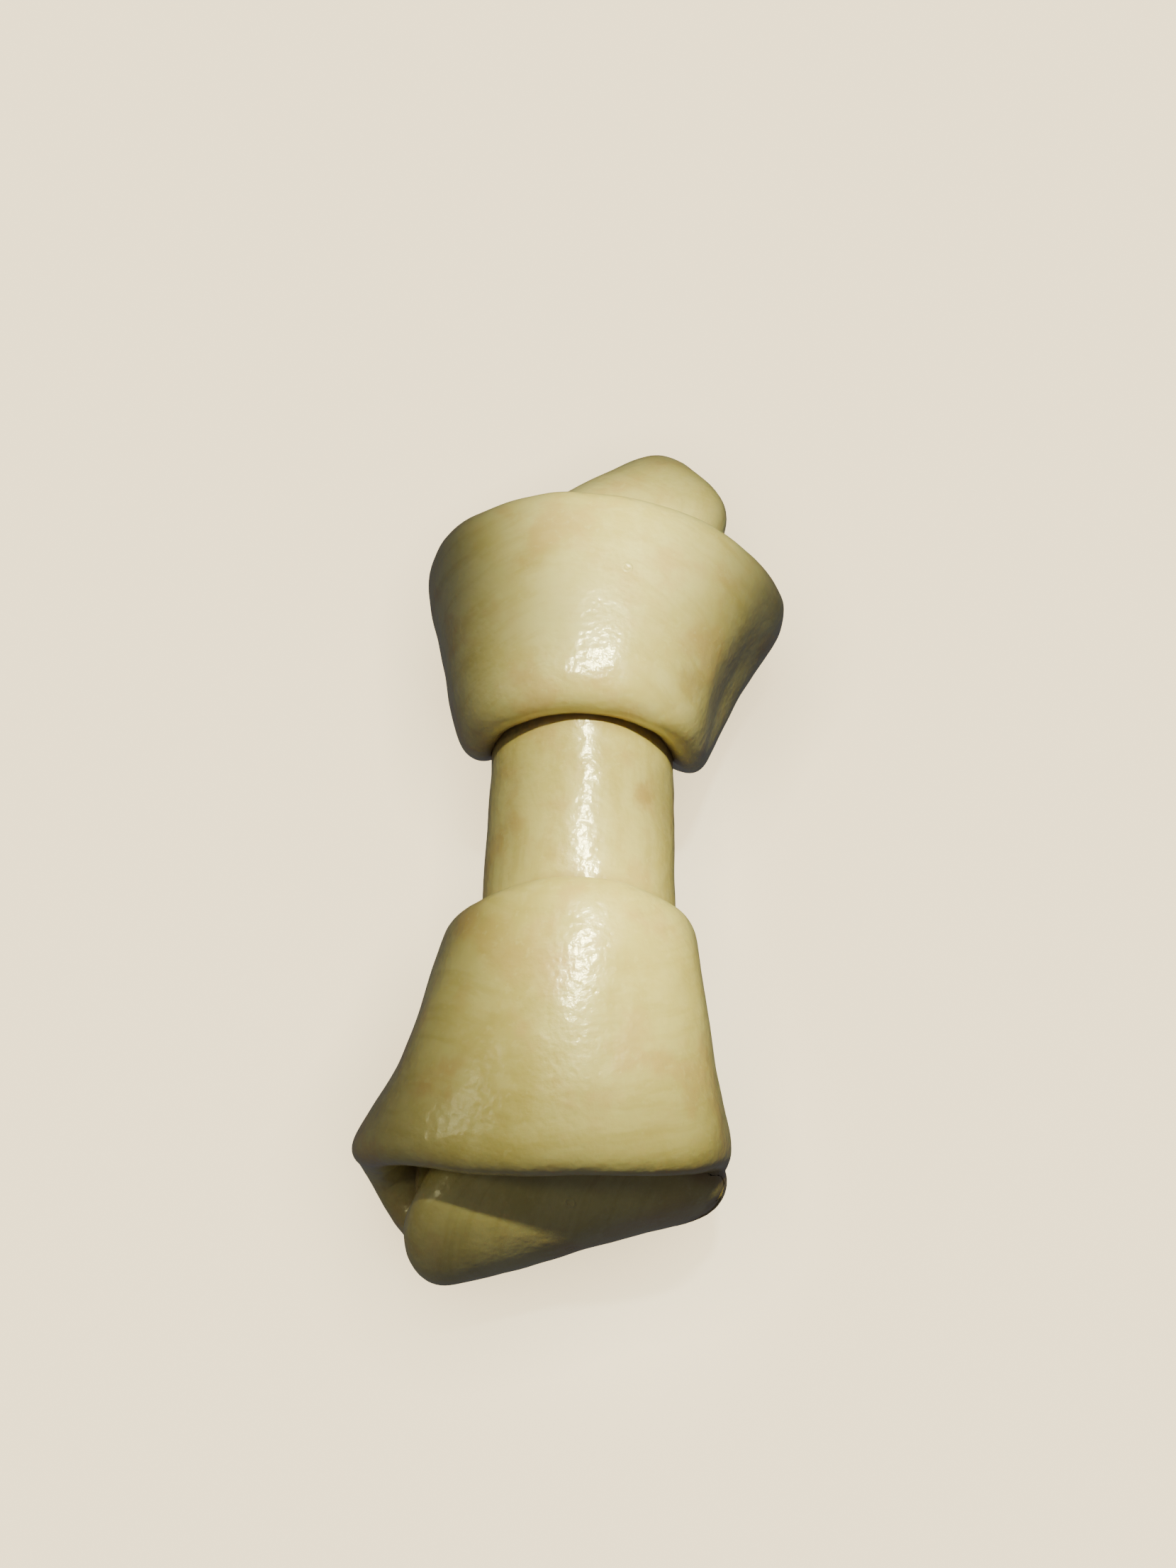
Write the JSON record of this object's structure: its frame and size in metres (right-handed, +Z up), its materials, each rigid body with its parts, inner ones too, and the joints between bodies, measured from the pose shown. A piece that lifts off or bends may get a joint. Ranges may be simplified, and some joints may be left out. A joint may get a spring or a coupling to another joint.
{
  "type": "knotted chew bone",
  "caption": "Chew bone of rolled, dried hide: a straight shaft tied in a flat overhand knot at each end, pressed hard and lying on the backs of its knots.",
  "frame": {"origin": "on the surface that the bone rests on, under the middle of its outline", "axes": "+Z up from the resting faces on the backs of the knots; the shaft lies along Y, with the broader near knot towards -Y; +X to the right of a viewer looking along +Y"},
  "size_m": [0.0504, 0.1036, 0.0329],
  "materials": {
    "shaft_hide": "semi-gloss dried hide, ivory",
    "near_hide": "semi-gloss dried hide, yellowish ivory",
    "far_hide": "semi-gloss dried hide, pale ivory",
    "inner_hide": "matt dried hide, unbleached"
  },
  "bodies": {
    "root": {"shaft": "shaft_hide", "inner_roll": "inner_hide", "filler_strip_1": "inner_hide", "filler_strip_2": "inner_hide", "near_heel": "near_hide", "near_back_wrap": "near_hide", "near_collar": "near_hide", "near_tail": "near_hide", "far_heel": "far_hide", "far_back_wrap": "far_hide", "far_collar": "far_hide", "far_tail": "far_hide"}
  },
  "joints": []
}
